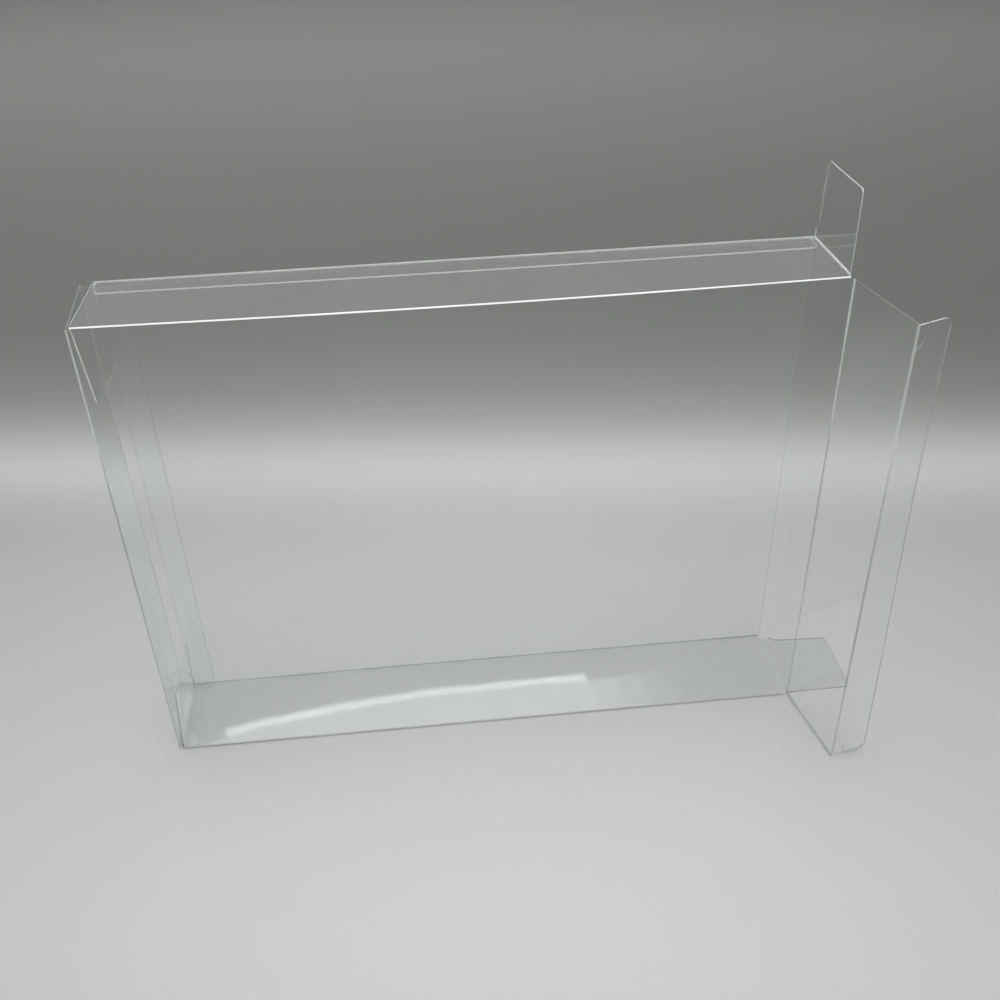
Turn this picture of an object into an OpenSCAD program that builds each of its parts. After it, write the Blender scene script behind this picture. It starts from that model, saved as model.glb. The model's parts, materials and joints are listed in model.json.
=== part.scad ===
// Clear folding protector sleeve for a boxed cartridge game.
// One die-cut, creased sheet of clear polyester film: four panels glued into a
// flat rectangular tube by a lap seam along the top rear edge, and at each end
// a lid with a tuck flap and two dust flaps. The left end is closed, the right
// end is open. Units are millimetres.
// X runs along the length, Y from front (-) to rear (+), Z up. The origin is
// the centre of the underside of the bottom panel.

/* [Sleeve] */
// Outer length of the sleeve between its two lid creases
body_w = 190; // [150:1:260]
// Outer height of the sleeve
body_h = 140.5; // [100:0.5:200]
// Outer depth of the sleeve, front to rear
body_d = 28.6; // [24:0.2:60]
// Thickness of the film
film = 0.4; // [0.3:0.05:0.5]
// Outside radius of the four long creases
crease_r = 0.6; // [0.55:0.05:1]
// Width of the glue flap under the top panel
glue_w = 7; // [5:0.5:10]

/* [Lids] */
// Width of the tuck flaps
tuck_w = 10.4; // [8:0.2:13]
// Corner radius of the tuck flaps
tuck_r = 2.4; // [1.5:0.1:4]
// Angle by which the right lid is swung out from closed
lid_open = 170; // [100:1:190]
// Angle by which the closed left lid stands proud of flush
lid_ajar = 5.5; // [1:0.5:8]
// Distance of the lock slit from the crease, at the tuck flap's end
slit_u = 3.5; // [2.5:0.1:4.5]
// Width of the lock slit
slit_w = 0.3; // [0.2:0.05:0.4]

/* [Dust flaps] */
// Length of the dust flaps from their creases
dust_l = 21.5; // [15:0.1:24]
// Length of the wide shoulder beside the crease
shoulder_l = 3; // [2:0.1:4]
// Drop of the dust flap's rear side behind the shoulder
shoulder_step = 1.5; // [0.8:0.1:3]
// Inward lean of the two dust flaps behind the closed left lid
dust_lean = 4.5; // [2:0.5:16]

/* [Hidden] */
$fn = 48;

hw = body_w / 2;
hd = body_d / 2;
gap = 0.3;                    // clearance between neighbouring layers
rb = film / 2;                // radius of a rounded film edge
root = 0.3;                   // a hinged flap starts this far from its crease axis

lid_x = hw - rb;              // lid crease axes, X
lid_y = -(hd - rb);           // lid crease axes, Y
dust_x = lid_x - 0.9;         // dust flap crease axes, X
rear_x = lid_x - rb - gap;    // cut ends of the rear panel

lid_w = (hd - film - gap - rb) - lid_y;            // crease to crease
tuck_fold = 90 + asin(tuck_w / 2 / lid_w);         // tip stays on the crease's circle
lid_z0 = film + gap;
lid_z1 = body_h - film - gap;
tuck_z0 = lid_z0 + film;
tuck_z1 = lid_z1 - film;

dust_y0 = -(hd - film - gap);                      // front side of the dust flaps
dust_y1 = lid_y + lid_w - film - 0.7;              // shoulder, inside the tuck's sweep
top_z = body_h - rb;                               // top dust flap crease, Z
bot_z = rb;                                        // bottom dust flap crease, Z

// ---- outlines -------------------------------------------------------------

module rrect(y0, z0, y1, z1, r) {
    translate([y0 + r, z0]) square([y1 - y0 - 2 * r, z1 - z0]);
    translate([y0, z0 + r]) square([y1 - y0, z1 - z0 - 2 * r]);
    for (y = [y0 + r, y1 - r], z = [z0 + r, z1 - r]) translate([y, z]) circle(r);
}

// Section of the tube in Y and Z. The rear panel turns forward at its top,
// one film thickness lower, and the top panel lies on it with a free cut edge.
module tube_section() {
    difference() {
        rrect(-hd, 0, hd, body_h, crease_r);
        rrect(-hd + film, film, hd - film, body_h - film, crease_r - film);
        translate([hd - 0.7, body_h - film]) square([2, 2]);
        translate([hd - crease_r, body_h - film - crease_r]) square([2, 3]);
    }
    translate([hd - crease_r, body_h - film - crease_r]) intersection() {
        difference() { circle(crease_r); circle(crease_r - film); }
        square(2);
    }
}

// Glue flap in X and Y: short bevels at both of its ends
module glue_outline() {
    e = dust_x - 0.7;
    b = 1.2;
    y1 = hd - crease_r;
    y0 = hd - film - glue_w;
    polygon([[-e, y1], [-e, y0 + b], [-e + b, y0], [e - b, y0], [e, y0 + b], [e, y1]]);
}

// Dust flap laid flat: first axis away from the crease, second axis Y
function arc_pts(cx, cy, r, a0, a1, n) =
    [for (i = [0:n]) let (a = a0 + (a1 - a0) * i / n) [cx + r * cos(a), cy + r * sin(a)]];
module dust_outline(from) {
    r = 1.2;
    y_step = dust_y1 - shoulder_step;
    y_tip = y_step - 0.8;
    polygon(concat(
        [[from, dust_y0]],
        arc_pts(dust_l - r, dust_y0 + r + 0.15, r, -90, 0, 8),
        arc_pts(dust_l - r, y_tip - r, r, 0, 88, 8),
        [[shoulder_l + shoulder_step * 1.4, y_step], [shoulder_l, dust_y1], [from, dust_y1]]));
}

// Tuck flap laid flat: first axis away from the crease, second axis Z, with a
// curved lock slit at each end that stops just short of the crease
module tuck_outline(from) {
    difference() {
        union() {
            translate([from, tuck_z0]) square([tuck_w - tuck_r - from, tuck_z1 - tuck_z0]);
            translate([from, tuck_z0 + tuck_r]) square([tuck_w - from, tuck_z1 - tuck_z0 - 2 * tuck_r]);
            for (z = [tuck_z0 + tuck_r, tuck_z1 - tuck_r])
                translate([tuck_w - tuck_r, z]) circle(tuck_r);
        }
        for (s = [-1, 1]) translate([0, s > 0 ? tuck_z1 : tuck_z0]) scale_z(s) slit();
    }
}
module scale_z(s) { if (s > 0) children(); else mirror([0, 1]) children(); }
module slit() {
    r = 5;
    translate([slit_u - slit_w / 2, -2]) square([slit_w, 3]);
    translate([slit_u - r, -2]) intersection() {
        difference() { circle(r + slit_w / 2); circle(r - slit_w / 2); }
        translate([r - slit_u + 0.7, -8]) square([8, 8]);
    }
}

// ---- film pieces ----------------------------------------------------------

// A plate of film standing on the XY plane's first axis: outline's first axis
// runs along +X, its second along +Z, and the film is centred on Y = 0
module standing() {
    rotate([90, 0, 0]) translate([0, 0, -rb]) linear_extrude(film) children();
}

// Rounded film edge along Z, centred on the axis
module bead_z(z0, z1) { translate([0, 0, z0]) cylinder(r = rb, h = z1 - z0); }

// Lid from its crease axis along +X: rounded at the crease axis' side
module lid_plate(from) {
    translate([from + rb, -rb, lid_z0]) cube([lid_w - from - rb, film, lid_z1 - lid_z0]);
    translate([from + rb, 0, 0]) bead_z(lid_z0, lid_z1);
    translate([lid_w, 0, 0]) bead_z(lid_z0, lid_z1);
}

module tuck_plate(from) {
    standing() tuck_outline(from > 0 ? from + rb : 0);
    if (from > 0) translate([from + rb, 0, 0])
        bead_z(tuck_z0, tuck_z1);
}

// Dust flap from its crease axis along +X, film centred on Z = 0
module dust_plate(from) {
    translate([0, 0, -rb]) linear_extrude(film) dust_outline(from + (from > 0 ? rb : 0));
    translate([from > 0 ? from + rb : 0, dust_y0, 0]) rotate([-90, 0, 0])
        cylinder(r = rb, h = dust_y1 - dust_y0);
}

// ---- nodes ----------------------------------------------------------------

module sleeve() color([0.86, 0.9, 0.9, 0.45]) {
    // four panels
    rotate([90, 0, 90]) translate([0, 0, -dust_x]) linear_extrude(2 * dust_x) tube_section();
    // glue flap, on the underside of the top panel
    translate([0, 0, body_h - 2 * film]) linear_extrude(film) glue_outline();
    for (s = [-1, 1]) {
        // front panel out to the lid crease, with a rounded edge
        translate([s > 0 ? dust_x - 1 : -lid_x, -hd, lid_z0])
            cube([lid_x - dust_x + 1, film, lid_z1 - lid_z0]);
        translate([s * lid_x, lid_y, 0]) bead_z(lid_z0, lid_z1);
        // rear panel out to its cut end
        translate([s > 0 ? dust_x - 1 : -rear_x, hd - film, crease_r])
            cube([rear_x - dust_x + 1, film, body_h - film - 2 * crease_r]);
    }
    // rounded right ends of the top and bottom panels at the dust flap creases
    for (z = [bot_z, top_z]) translate([dust_x, dust_y0, z]) rotate([-90, 0, 0])
        cylinder(r = rb, h = dust_y1 - dust_y0);
    // dust flaps folded in behind the closed left lid
    translate([-dust_x, 0, bot_z]) rotate([0, -(90 - dust_lean), 0]) dust_plate(0);
    translate([-dust_x, 0, top_z]) rotate([0, 90 - dust_lean, 0]) dust_plate(0);
}

module left_lid() color([0.8, 0.88, 0.92, 0.45])
    translate([-lid_x, lid_y, 0]) rotate([0, 0, 90 + lid_ajar]) {
        lid_plate(root);
        translate([lid_w, 0, 0]) rotate([0, 0, -tuck_fold]) tuck_plate(0);
    }

module right_lid() color([0.8, 0.88, 0.92, 0.45])
    translate([lid_x, lid_y, 0]) rotate([0, 0, 90 - lid_open]) lid_plate(root);

module right_tuck_flap() color([0.75, 0.86, 0.9, 0.45])
    translate([lid_x, lid_y, 0]) rotate([0, 0, 90 - lid_open])
        translate([lid_w, 0, 0]) rotate([0, 0, tuck_fold]) tuck_plate(root);

module top_dust_flap() color([0.84, 0.88, 0.86, 0.45])
    translate([dust_x, 0, top_z]) rotate([0, -90, 0]) dust_plate(root);

module bottom_dust_flap() color([0.84, 0.88, 0.86, 0.45])
    translate([dust_x, 0, bot_z]) dust_plate(root);

sleeve();
left_lid();
right_lid();
right_tuck_flap();
top_dust_flap();
bottom_dust_flap();
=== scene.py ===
import json
import math

import bmesh
import bpy
from mathutils import Matrix, Vector


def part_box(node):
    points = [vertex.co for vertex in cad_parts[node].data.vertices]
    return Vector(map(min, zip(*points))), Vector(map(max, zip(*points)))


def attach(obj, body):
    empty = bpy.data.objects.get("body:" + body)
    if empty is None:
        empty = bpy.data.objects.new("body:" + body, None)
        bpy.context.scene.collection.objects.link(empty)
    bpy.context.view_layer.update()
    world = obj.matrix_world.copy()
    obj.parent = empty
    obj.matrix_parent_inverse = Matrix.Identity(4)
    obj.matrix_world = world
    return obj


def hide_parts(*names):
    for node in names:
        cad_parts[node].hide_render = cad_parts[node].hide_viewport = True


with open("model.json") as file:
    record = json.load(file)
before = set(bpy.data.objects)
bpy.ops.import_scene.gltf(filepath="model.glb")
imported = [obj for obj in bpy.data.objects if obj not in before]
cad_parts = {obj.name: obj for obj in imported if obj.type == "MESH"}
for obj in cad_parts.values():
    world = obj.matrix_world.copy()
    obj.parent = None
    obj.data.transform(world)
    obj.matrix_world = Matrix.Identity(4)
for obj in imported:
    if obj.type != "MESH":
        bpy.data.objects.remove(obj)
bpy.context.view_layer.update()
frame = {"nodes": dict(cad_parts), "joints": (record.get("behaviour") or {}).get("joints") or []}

MM = 0.001

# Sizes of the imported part, read from the frame (millimetres)
LO_S, HI_S = [v * 1000 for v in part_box("sleeve")]
HW = HI_S.x            # outer edge of the lid creases
HD = HI_S.y            # half the depth
H = HI_S.z             # height of the sleeve
T = 0.4                # film
joints = {j["name"]: j for j in frame["joints"]}


def axis_of(name):
    """A point on the joint's axis, in millimetres."""
    return Vector(joints[name]["pos_m"]) * 1000


# ---------------------------------------------------------------- materials

def node(nt, kind, x, y, **inputs):
    n = nt.nodes.new(kind)
    n.location = (x, y)
    for k, v in inputs.items():
        n.inputs[k.replace("_", " ")].default_value = v
    return n


def math_node(nt, op, x, y, a=None, b=None, clamp=False):
    n = nt.nodes.new("ShaderNodeMath")
    n.operation = op
    n.location = (x, y)
    n.use_clamp = clamp
    for i, v in enumerate((a, b)):
        if v is None:
            continue
        if isinstance(v, (int, float)):
            n.inputs[i].default_value = v
        else:
            nt.links.new(v, n.inputs[i])
    return n.outputs[0]


def ramp(nt, src, x, y, lo, hi, to_lo, to_hi):
    n = nt.nodes.new("ShaderNodeMapRange")
    n.location = (x, y)
    n.inputs["From Min"].default_value = lo
    n.inputs["From Max"].default_value = hi
    n.inputs["To Min"].default_value = to_lo
    n.inputs["To Max"].default_value = to_hi
    nt.links.new(src, n.inputs["Value"])
    return n.outputs["Result"]


def new_material(name):
    m = bpy.data.materials.new(name)
    m.use_nodes = True
    m.node_tree.nodes.clear()
    m.use_backface_culling = False
    return m, m.node_tree


def fresnel(nt, normal, f0, x, y):
    """Schlick's share of mirrored light, the same on both sides of a face."""
    lw = nt.nodes.new("ShaderNodeLayerWeight")
    lw.location = (x, y)
    lw.inputs["Blend"].default_value = 0.5
    if normal is not None:
        nt.links.new(normal, lw.inputs["Normal"])
    p5 = math_node(nt, "POWER", x + 180, y, lw.outputs["Facing"], 5.0)
    s = math_node(nt, "MULTIPLY", x + 340, y, p5, 1.0 - f0)
    return math_node(nt, "ADD", x + 500, y, s, f0, clamp=True)


def film_material(name, haze_lo, haze_hi, tint, rough):
    """Clear polyester film: what is behind it shows through, and it mirrors as a
    polished face does. Faint smudges, and the ripples of the rolled sheet."""
    m, nt = new_material(name)
    tc = node(nt, "ShaderNodeTexCoord", -1500, 0)
    mp = node(nt, "ShaderNodeMapping", -1300, 0)
    mp.inputs["Scale"].default_value = (26, 26, 15)
    nt.links.new(tc.outputs["Object"], mp.inputs["Vector"])
    sm = node(nt, "ShaderNodeTexNoise", -1100, 0, Scale=1.0, Detail=2.0, Roughness=0.55)
    nt.links.new(mp.outputs[0], sm.inputs["Vector"])
    smudge = ramp(nt, sm.outputs["Fac"], -900, 150, 0.45, 0.8, haze_lo, haze_hi)
    clear = node(nt, "ShaderNodeBsdfTransparent", -300, 80)
    clear.inputs["Color"].default_value = (*tint, 1)
    veil = node(nt, "ShaderNodeBsdfDiffuse", -300, -60)
    veil.inputs["Color"].default_value = (0.86, 0.89, 0.88, 1)
    mixh = node(nt, "ShaderNodeMixShader", 0, 100)
    nt.links.new(smudge, mixh.inputs[0])
    nt.links.new(clear.outputs[0], mixh.inputs[1])
    nt.links.new(veil.outputs[0], mixh.inputs[2])
    gl = node(nt, "ShaderNodeBsdfGlossy", 0, -150)
    gl.inputs["Color"].default_value = (0.98, 1.0, 0.99, 1)
    bump = node(nt, "ShaderNodeBump", -300, -300, Strength=0.04, Distance=0.0005)
    nt.links.new(sm.outputs["Fac"], bump.inputs["Height"])
    nt.links.new(bump.outputs[0], gl.inputs["Normal"])
    r = ramp(nt, sm.outputs["Fac"], -160, -420, 0.4, 0.75, rough, rough + 0.03)
    nt.links.new(r, gl.inputs["Roughness"])
    fr = fresnel(nt, None, 0.042, -900, -560)
    mix = node(nt, "ShaderNodeMixShader", 250, 0)
    nt.links.new(fr, mix.inputs[0])
    nt.links.new(mixh.outputs[0], mix.inputs[1])
    nt.links.new(gl.outputs[0], mix.inputs[2])
    # what the film mirrors away from a lamp comes back to the floor off the other
    # panels, so the film darkens the floor under it hardly at all
    lp = node(nt, "ShaderNodeLightPath", 250, 350)
    pas = node(nt, "ShaderNodeBsdfTransparent", 250, -200)
    pas.inputs["Color"].default_value = (0.985, 0.99, 0.988, 1)
    last = node(nt, "ShaderNodeMixShader", 450, 0)
    nt.links.new(lp.outputs["Is Shadow Ray"], last.inputs[0])
    nt.links.new(mix.outputs[0], last.inputs[1])
    nt.links.new(pas.outputs[0], last.inputs[2])
    out = node(nt, "ShaderNodeOutputMaterial", 650, 0)
    nt.links.new(last.outputs[0], out.inputs["Surface"])
    return m


def edge_material(name, solid_lo, solid_hi, painted_light_greys, rough, scale, painted_emission=0.0, fade=None):
    """Creased or cut film: pale and part see-through, from the whitening of the score
    line and the cut, with painted light standing in for the light that runs along
    inside the sheet. painted_light_greys gives how pale it is at heights in
    millimetres: painted shade, dark near the floor where the contact shadow falls,
    and a painted highlight, whitest at the top under the overhead light.
    painted_emission adds a faint painted glow. fade (z_lo, z_hi, low) makes the
    line fainter lower down."""
    m, nt = new_material(name)
    tc = node(nt, "ShaderNodeTexCoord", -1400, 0)
    mp = node(nt, "ShaderNodeMapping", -1220, 0)
    mp.inputs["Scale"].default_value = scale
    nt.links.new(tc.outputs["Object"], mp.inputs["Vector"])
    no = node(nt, "ShaderNodeTexNoise", -1040, 0, Scale=1.0, Detail=2.0, Roughness=0.6)
    nt.links.new(mp.outputs[0], no.inputs["Vector"])
    share = ramp(nt, no.outputs["Fac"], -640, 0, 0.3, 0.7, solid_lo, solid_hi)
    sep = node(nt, "ShaderNodeSeparateXYZ", -1220, 300)
    nt.links.new(tc.outputs["Object"], sep.inputs[0])
    fac = ramp(nt, sep.outputs[2], -1040, 300, 0.0, 0.165, 0.0, 1.0)
    if fade:
        low = ramp(nt, sep.outputs[2], -1040, 520, fade[0] * MM, fade[1] * MM, fade[2], 1.0)
        share = math_node(nt, "MULTIPLY", -420, 0, share, low)
    cr = nt.nodes.new("ShaderNodeValToRGB")
    cr.location = (-840, 300)
    nt.links.new(fac, cr.inputs[0])
    el = cr.color_ramp.elements
    while len(el) > 1:
        el.remove(el[-1])
    for i, (z, v) in enumerate(painted_light_greys):
        e = el[0] if i == 0 else el.new(z / 165)
        e.position = z / 165
        e.color = (v * 0.985, v, v * 0.99, 1)
    clear = node(nt, "ShaderNodeBsdfTransparent", -300, 120)
    clear.inputs["Color"].default_value = (0.93, 0.96, 0.95, 1)
    white = node(nt, "ShaderNodeBsdfPrincipled", -300, 0)
    white.inputs["Roughness"].default_value = rough
    white.inputs["IOR"].default_value = 1.57
    nt.links.new(cr.outputs[0], white.inputs["Base Color"])
    white.inputs["Emission Color"].default_value = (0.95, 1.0, 0.98, 1)
    white.inputs["Emission Strength"].default_value = painted_emission
    bump = node(nt, "ShaderNodeBump", -520, -260, Strength=0.25, Distance=0.0001)
    nt.links.new(no.outputs["Fac"], bump.inputs["Height"])
    nt.links.new(bump.outputs[0], white.inputs["Normal"])
    mix = node(nt, "ShaderNodeMixShader", 150, 0)
    nt.links.new(share, mix.inputs[0])
    nt.links.new(clear.outputs[0], mix.inputs[1])
    nt.links.new(white.outputs[0], mix.inputs[2])
    out = node(nt, "ShaderNodeOutputMaterial", 350, 0)
    nt.links.new(mix.outputs[0], out.inputs["Surface"])
    return m


FILM = film_material("clear_film", 0.003, 0.012, (0.989, 0.994, 0.991), 0.026)
# the greys of these edge materials are painted light: painted shade, dark near the floor where the
# contact shadow falls, and a painted highlight, whiter towards the top under the overhead light
CREASE = edge_material("creased_film", 0.8, 1.0,
                       [(0, 0.13), (2, 0.2), (6, 0.4), (100, 0.5), (134, 0.7), (138, 1.0)],
                       0.25, (60, 900, 900))
CUT = edge_material("cut_film_edge", 0.35, 0.65,
                    [(0, 0.13), (3, 0.3), (90, 0.5), (130, 0.6), (138, 0.8)],
                    0.3, (90, 90, 90))
SOFT_CREASE = edge_material("soft_crease_film", 0.45, 0.75,
                            [(0, 0.2), (3, 0.35), (70, 0.42), (92, 0.6), (108, 1.0), (138, 1.0)],
                            0.25, (300, 300, 60), fade=(35, 105, 0.24))
FOLD = edge_material("tuck_fold_film", 0.3, 0.55,
                     [(0, 0.13), (3, 0.25), (70, 0.35), (92, 0.55), (112, 1.0), (138, 1.0)],
                     0.25, (300, 300, 60), fade=(15, 50, 0.45))
BASE_CREASE = edge_material("base_crease_film", 0.3, 0.55, [(0, 0.16), (3, 0.2)],
                            0.3, (60, 900, 900))
# a painted highlight and a faint painted glow, standing in for the light caught along the film's edges
PAINTED_BRIGHT_EDGE = edge_material("edge_painted_bright", 0.7, 0.95, [(0, 0.7), (138, 0.76)],
                         0.3, (60, 500, 500), painted_emission=0.05)
FAINT_CUT = edge_material("faint_cut_edge", 0.15, 0.3, [(0, 0.13), (3, 0.25), (138, 0.4)],
                          0.3, (90, 90, 90))
MATS = [FILM, CREASE, CUT, SOFT_CREASE, PAINTED_BRIGHT_EDGE, FAINT_CUT, BASE_CREASE, FOLD]


# ------------------------------------------------------------------- shapes

NARROW = 0.47


def face_width(f):
    per = sum(e.calc_length() for e in f.edges)
    return 2 * f.calc_area() / per if per > 0 else 0


def work_mesh(name):
    """A copy of a node's mesh in millimetres, welded, with flat areas joined."""
    bm = bmesh.new()
    bm.from_mesh(frame["nodes"][name].data)
    bmesh.ops.transform(bm, matrix=Matrix.Scale(1000, 4), verts=bm.verts)
    bmesh.ops.remove_doubles(bm, verts=bm.verts, dist=0.002)
    bmesh.ops.dissolve_limit(bm, angle_limit=math.radians(0.4), verts=bm.verts, edges=bm.edges)
    thin = bm.faces.layers.int.new("thin")
    for f in bm.faces:
        f[thin] = int(face_width(f) < NARROW)
    return bm


def cut_planes(bm, axis, places):
    no = Vector([float(i == axis) for i in range(3)])
    for p in places:
        co = no * p
        geom = bm.verts[:] + bm.edges[:] + bm.faces[:]
        bmesh.ops.bisect_plane(bm, geom=geom, dist=0.0005, plane_co=co, plane_no=no)


def spread(a, b, step):
    n = max(1, round((b - a) / step))
    return [a + (b - a) * i / n for i in range(1, n)]


def finish_piece(bm, name, body, mats, *nodes):
    thin = bm.faces.layers.int.get("thin")
    for e in bm.edges:
        e.smooth = True
        if len(e.link_faces) == 2:
            a, b = e.link_faces
            if a.material_index != b.material_index or a[thin] != b[thin] \
                    or e.calc_face_angle(0.0) > math.radians(32):
                e.smooth = False
    for f in bm.faces:
        f.smooth = True
    bmesh.ops.transform(bm, matrix=Matrix.Scale(MM, 4), verts=bm.verts)
    me = bpy.data.meshes.new(name)
    bm.to_mesh(me)
    bm.free()
    for m in mats:
        me.materials.append(m)
    ob = bpy.data.objects.new(name, me)
    bpy.context.scene.collection.objects.link(ob)
    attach(ob, body)
    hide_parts(*nodes)
    return ob


def bell(t):
    """0 at both ends of 0..1 and 1 in the middle."""
    t = min(max(t, 0.0), 1.0)
    return math.sin(math.pi * t)


def smooth(t):
    t = min(max(t, 0.0), 1.0)
    return t * t * (3 - 2 * t)


STEP = 3.0

# ---- sleeve
bm = work_mesh("sleeve")
DIAG = Vector((0, -1, 1)).normalized()
for f in bm.faces:
    c = f.calc_center_median()
    f.material_index = 0
    if face_width(f) >= NARROW:
        continue
    n = f.normal
    corner = abs(c.y) > HD - 0.75 and (c.z < 0.75 or c.z > H - 1.15)
    lid = c.y < -HD + 0.45 and abs(c.x) > HW - 0.45
    dust = abs(c.x) > HW - 1.45 and (c.z < 0.45 or c.z > H - 0.45)
    glue = abs(c.z - (H - 0.6)) < 0.25 and abs(n.z) < 0.3 and c.y < HD - 0.8
    # index 4 is the edge with a painted highlight and painted glow
    if glue and 6 < c.y < 10 or (glue and abs(c.x) > HW - 4):
        f.material_index = 4                 # free edge of the glue flap
    elif corner and abs(n.x) < 0.5:
        # painted highlight: only the ridge faces that face up and forward get it
        if c.z > H - 1.2 and c.y < 0:        # front top crease: white along its ridge
            f.material_index = 4 if abs(n.dot(DIAG)) > math.cos(math.radians(20)) else 0
        else:
            # the lower rear creases get the base crease, whose dark grey is painted shade near the floor
            f.material_index = 1 if c.z > H / 2 or c.y < 0 else 6
            if c.z < H / 2 and min(abs(n.y), abs(n.z)) < 0.42:
                f.material_index = 0
    # painted highlight on the upper halves only, the lower halves plain crease
    elif c.x < -HW + 14 and abs(c.y + 13.6) < 0.3 and n.y < -0.7 and 0.5 < abs(c.z - H / 2) - 40:
        f.material_index = 4 if c.z > H / 2 else 1   # front edges of the folded dust flaps
    # painted highlight on the upper half only, the lower half clear film
    elif dust and c.x > 0:                   # crease of the standing dust flap
        f.material_index = 4 if c.z > H / 2 else 0
    elif dust and c.z > H / 2 and c.x < -HW + 1.0:
        f.material_index = 1
    elif lid or dust:
        f.material_index = 3
    elif c.x < -HW + 24 and abs(c.y) < HD - 0.6 and 1.5 < c.z < H - 1.5 \
            and (c.z > H / 2 and c.z < H - 2.5 or c.y > 6 and abs(n.y) > 0.6):
        f.material_index = 5                 # hidden edges of the folded dust flaps
    else:
        f.material_index = 2
cut_planes(bm, 0, spread(-HW + 2.2, HW - 2.2, STEP) + [-HW + 2.2, HW - 2.2])
cut_planes(bm, 2, spread(1.2, H - 1.6, STEP) + [1.2, H - 1.6])
cut_planes(bm, 1, spread(-HD + 0.9, HD - 1.0, 3.0) + [7.35])
# the glue flap's free edge gets the painted highlight and painted glow
for f in bm.faces:                           # the lit rim of the glue flap's free edge
    c = f.calc_center_median()
    if 6.85 < c.y < 7.35 and H - 0.86 < c.z < H - 0.34 and abs(c.x) < HW - 1.2:
        f.material_index = 4


def bow_sleeve(p):
    x, y, z = p
    u = (x + HW) / (2 * HW)
    v = z / H
    s = (y + HD) / (2 * HD)
    d = Vector((0, 0, 0))
    ends = smooth((HW - abs(x)) / 30)
    # the front top crease sags a little between its ends
    d.z -= 0.78 * bell(u) * smooth((v - 0.45) / 0.55) * (1 - min(max(s, 0), 1))
    if y < -HD + 0.45:                       # front panel, a shallow outward belly
        d.y -= 0.7 * bell(u) * bell(v) * ends
        d.y += 0.25 * math.sin(math.pi * 3 * u) * bell(v) * ends
    elif y > HD - 0.45 and z < H - 0.7:      # rear panel
        d.y += (0.6 * bell(u) + 0.3 * math.sin(2 * math.pi * u)) * bell(v)
    if z < 0.45:                             # bottom panel, a little arched
        d.z += 0.03 * bell(s) * ends
        d.z += 0.086 * bell((x + 83) / 118) * (1 - math.cos(math.pi * min(max(s, 0), 1))) / 2
    if z > H - 0.85:                         # top panel with the lap seam
        d.z -= 0.12 * bell(s) * bell(u * 1.0) * ends
    return d


for v in bm.verts:
    v.co += bow_sleeve(v.co)
sleeve = finish_piece(bm, "sleeve_film", "sleeve", MATS, "sleeve")


# ---- lids and flaps
def plain_flap(node_name, piece, body, crease_test, deform=None, axes=(2,), step=4.0,
               lid=False):
    bm = work_mesh(node_name)
    for f in bm.faces:
        c = f.calc_center_median()
        f.material_index = 0
        if face_width(f) < NARROW:
            f.material_index = crease_test(c) if crease_test(c) is not None else 2
            if lid and f.normal.z > 0.7:
                f.material_index = 5
            if not lid and 45 < abs(c.z - H / 2) < H / 2 - 1.7 and 0.9 < \
                    math.hypot(c.x - tuck_axis.x, c.y - tuck_axis.y) < 4.5:
                f.material_index = 5         # the lock slits
    lo, hi = [v * 1000 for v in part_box(node_name)]
    for a in axes:
        cut_planes(bm, a, spread(lo[a] + 0.9, hi[a] - 0.9, step))
    if deform:
        for v in bm.verts:
            v.co += deform(v.co)
    return finish_piece(bm, piece, body, MATS, node_name)


def near_line(ax, r, index=3):
    return lambda c: index if math.hypot(c.x - ax.x, c.y - ax.y) < r else None


def either(a, b):
    return lambda c: a(c) if a(c) is not None else b(c)


lid_axis = axis_of("right_lid_crease")
tuck_axis = axis_of("right_tuck_crease")
left_axis = axis_of("left_lid_crease")
top_axis = axis_of("top_dust_crease")
bot_axis = axis_of("bottom_dust_crease")

LIDW = (tuck_axis - lid_axis).length
left_tuck = left_axis + Vector((math.cos(math.radians(95.5)), math.sin(math.radians(95.5)), 0)) * LIDW

plain_flap("right_lid", "right_lid_film", "right_lid",
           either(near_line(lid_axis, 0.8), near_line(tuck_axis, 0.6, 7)), lid=True)


def twist_tuck(p):
    """The tuck flap springs further open towards its lower end."""
    d = Vector((p.x - tuck_axis.x, p.y - tuck_axis.y, 0))
    if d.length < 0.7:
        return Vector((0, 0, 0))
    turn = math.radians(-12.5) * smooth(1 - p.z / (H * 0.75)) * smooth((d.length - 0.7) / 2.5)
    return Matrix.Rotation(turn, 3, "Z") @ d - d


plain_flap("right_tuck_flap", "right_tuck_film", "right_tuck_flap", near_line(tuck_axis, 0.8, 7),
           deform=twist_tuck)
plain_flap("left_lid", "left_lid_film", "left_lid",
           either(near_line(left_axis, 0.8), near_line(left_tuck, 0.6, 7)), lid=True)
plain_flap("top_dust_flap", "top_dust_film", "top_dust_flap",
           lambda c: 3 if c.z < top_axis.z + 0.8 else None, axes=(1, 2))
plain_flap("bottom_dust_flap", "bottom_dust_film", "bottom_dust_flap",
           lambda c: 0 if c.x < bot_axis.x + 0.8 else None, axes=(0, 1))

# -------------------------------------------------------------------- stage

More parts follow.
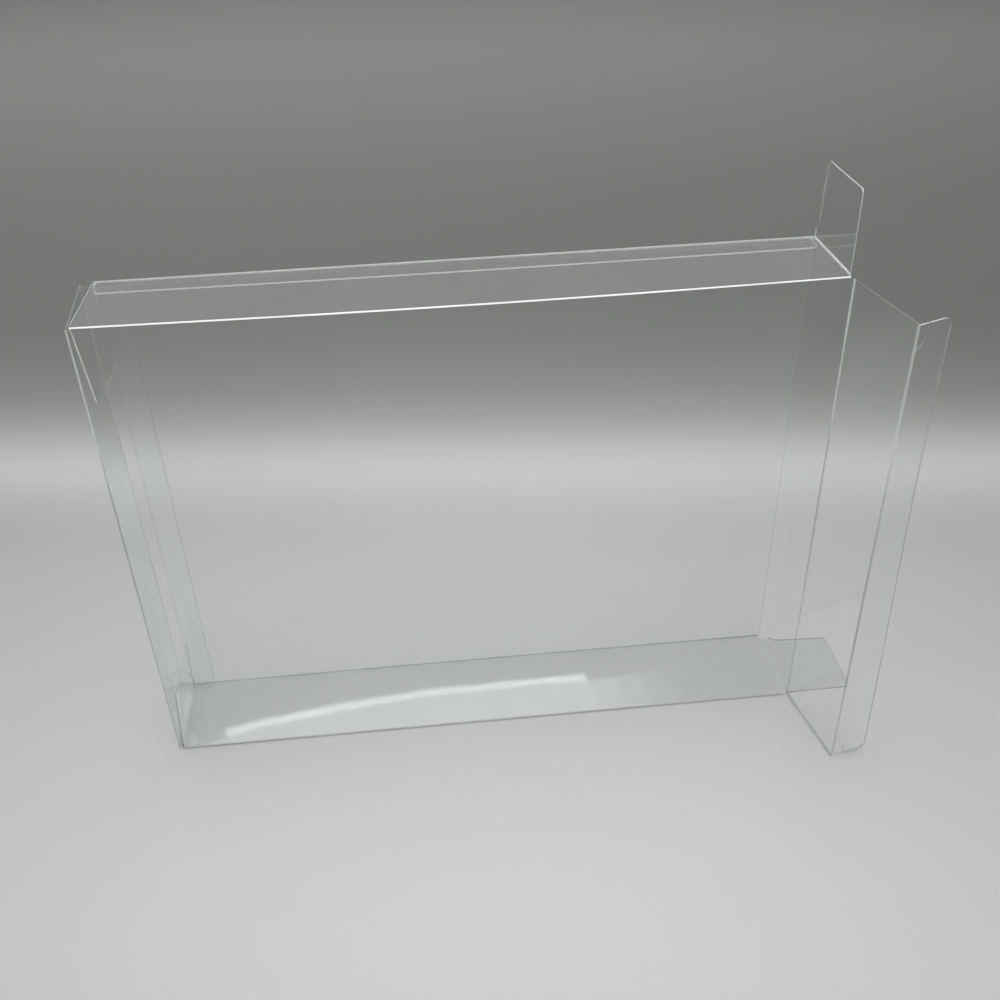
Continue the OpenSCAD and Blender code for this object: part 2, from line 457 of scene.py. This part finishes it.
def floor_material():
    m, nt = new_material("floor_with_painted_light")
    tc = node(nt, "ShaderNodeTexCoord", -900, 0)
    # painted light: a paler pool just in front of the object, a painted bright band behind it where a
    # sweep would catch the light, and painted shade, greyer behind the object and darker towards the
    # camera
    mp = node(nt, "ShaderNodeMapping", -800, 0)
    mp.inputs["Rotation"].default_value = (0, 0, math.radians(7.8))
    nt.links.new(tc.outputs["Object"], mp.inputs["Vector"])
    sep = node(nt, "ShaderNodeSeparateXYZ", -600, 0)
    nt.links.new(mp.outputs[0], sep.inputs[0])
    cr = nt.nodes.new("ShaderNodeValToRGB")
    cr.location = (-300, 0)
    lo, hi = -0.5, 1.5
    fac = ramp(nt, sep.outputs[1], -450, 0, lo, hi, 0.0, 1.0)
    nt.links.new(fac, cr.inputs[0])
    painted_light_stops = [(-0.26, 0.23), (-0.16, 0.34), (-0.10, 0.41), (0.0, 0.37), (0.06, 0.365),
             (0.085, 0.35), (0.109, 0.385), (0.130, 0.495), (0.150, 0.43), (0.172, 0.305),
             (0.20, 0.22), (0.26, 0.17), (0.36, 0.175), (0.60, 0.211), (0.95, 0.33)]
    el = cr.color_ramp.elements
    while len(el) > 1:
        el.remove(el[-1])
    for i, (y, v) in enumerate(painted_light_stops):
        e = el[0] if i == 0 else el.new((y - lo) / (hi - lo))
        e.position = (y - lo) / (hi - lo)
        e.color = (v, v, v * 0.985, 1)
    cr.color_ramp.interpolation = "B_SPLINE"
    b = node(nt, "ShaderNodeBsdfPrincipled", 0, 0, Roughness=0.65)
    b.inputs["Specular IOR Level"].default_value = 0.15
    nt.links.new(cr.outputs[0], b.inputs["Base Color"])
    out = node(nt, "ShaderNodeOutputMaterial", 300, 0)
    nt.links.new(b.outputs[0], out.inputs["Surface"])
    return m


bpy.ops.mesh.primitive_plane_add(size=12, location=(0, 0, -0.0002))
floor = bpy.context.object
floor.name = "floor"
floor.data.materials.append(floor_material())

world = bpy.data.worlds.new("studio")
bpy.context.scene.world = world
world.use_nodes = True
world.node_tree.nodes["Background"].inputs["Color"].default_value = (0.97, 0.985, 1.0, 1)
world.node_tree.nodes["Background"].inputs["Strength"].default_value = 0.10


def area(name, loc, target, size, size_y, power, glossy=True):
    data = bpy.data.lights.new(name, "AREA")
    data.shape = "RECTANGLE"
    data.size, data.size_y = size, size_y
    data.energy = power
    ob = bpy.data.objects.new(name, data)
    bpy.context.scene.collection.objects.link(ob)
    ob.location = loc
    ob.rotation_euler = (Vector(target) - Vector(loc)).to_track_quat("-Z", "Y").to_euler()
    ob.visible_camera = False
    ob.visible_glossy = glossy
    return ob


TURN = math.radians(6.0)
over = area("overhead", (-0.3718, 0.4259, 1.30), (-0.3718, 0.4259, 0), 1.49, 1.70, 15.86)
over.rotation_euler = (0, 0, TURN)
for i, power in enumerate((0.40, 0.27, 0.13)):   # its right edge fades out
    at = 0.74 + 0.05 * i
    fade = area("overhead_fade_%d" % i, (-0.342 + at * math.cos(TURN), 0.429 + at * math.sin(TURN), 1.30),
                (0, 0, 0), 0.05, 1.70, power)
    fade.rotation_euler = (0, 0, TURN)
area("key", (-0.10, -0.50, 0.9), (0, -0.06, 0.0), 0.5, 0.5, 4.5, glossy=False)
spot = bpy.data.lights.new("pool", "SPOT")
spot.energy = 25.0
spot.spot_size = math.radians(30)
spot.spot_blend = 1.0
spot.shadow_soft_size = 0.15
pool = bpy.data.objects.new("pool", spot)
bpy.context.scene.collection.objects.link(pool)
pool.location = (0.01, -0.30, 0.95)
pool.rotation_euler = (Vector((0.01, -0.05, 0)) - pool.location).to_track_quat("-Z", "Y").to_euler()
pool.visible_glossy = False
side = area("side", (0.66, 0.535, 1.30), (0.66, 0.535, 0), 0.46, 1.70, 2.4, glossy=False)
side.rotation_euler = (0, 0, math.radians(6.0))
strip = area("strip", (-0.0825, 1.323, 1.299), (0, 0, 0), 0.727, 0.024, 0.24)
strip.rotation_euler = (0, 0, math.radians(6.0))
# a dim wall panel, which only the film mirrors: the veil on the top panel
wall = area("wall", (0.1, 4.0, 1.9), (0.1, 0.0, 1.9), 4.8, 1.6, 8.5)
wall.visible_diffuse = False

# ------------------------------------------------------------------- camera

R = Vector((0.994937, -0.096498, -0.028097)).normalized()
F = Vector((0.064292, 0.825949, -0.560067)).normalized()
U = R.cross(F)
cam_data = bpy.data.cameras.new("camera")
cam_data.sensor_width = 36.0
cam_data.lens = 39.228
cam_data.clip_start, cam_data.clip_end = 0.01, 30.0
cam = bpy.data.objects.new("camera", cam_data)
bpy.context.scene.collection.objects.link(cam)
cam.matrix_world = Matrix((
    (R.x, U.x, -F.x, -0.01302),
    (R.y, U.y, -F.y, -0.25663),
    (R.z, U.z, -F.z, 0.24697),
    (0, 0, 0, 1)))
bpy.context.scene.camera = cam

sc = bpy.context.scene
sc.view_settings.view_transform = "Standard"
sc.view_settings.look = "None"
sc.cycles.transparent_max_bounces = 48
sc.cycles.max_bounces = 6
sc.cycles.glossy_bounces = 4
sc.cycles.caustics_reflective = False
sc.cycles.use_denoising = True
sc.cycles.use_adaptive_sampling = True
sc.cycles.adaptive_threshold = 0.04
sc.cycles.sample_clamp_indirect = 2.5

bpy.context.view_layer.update()
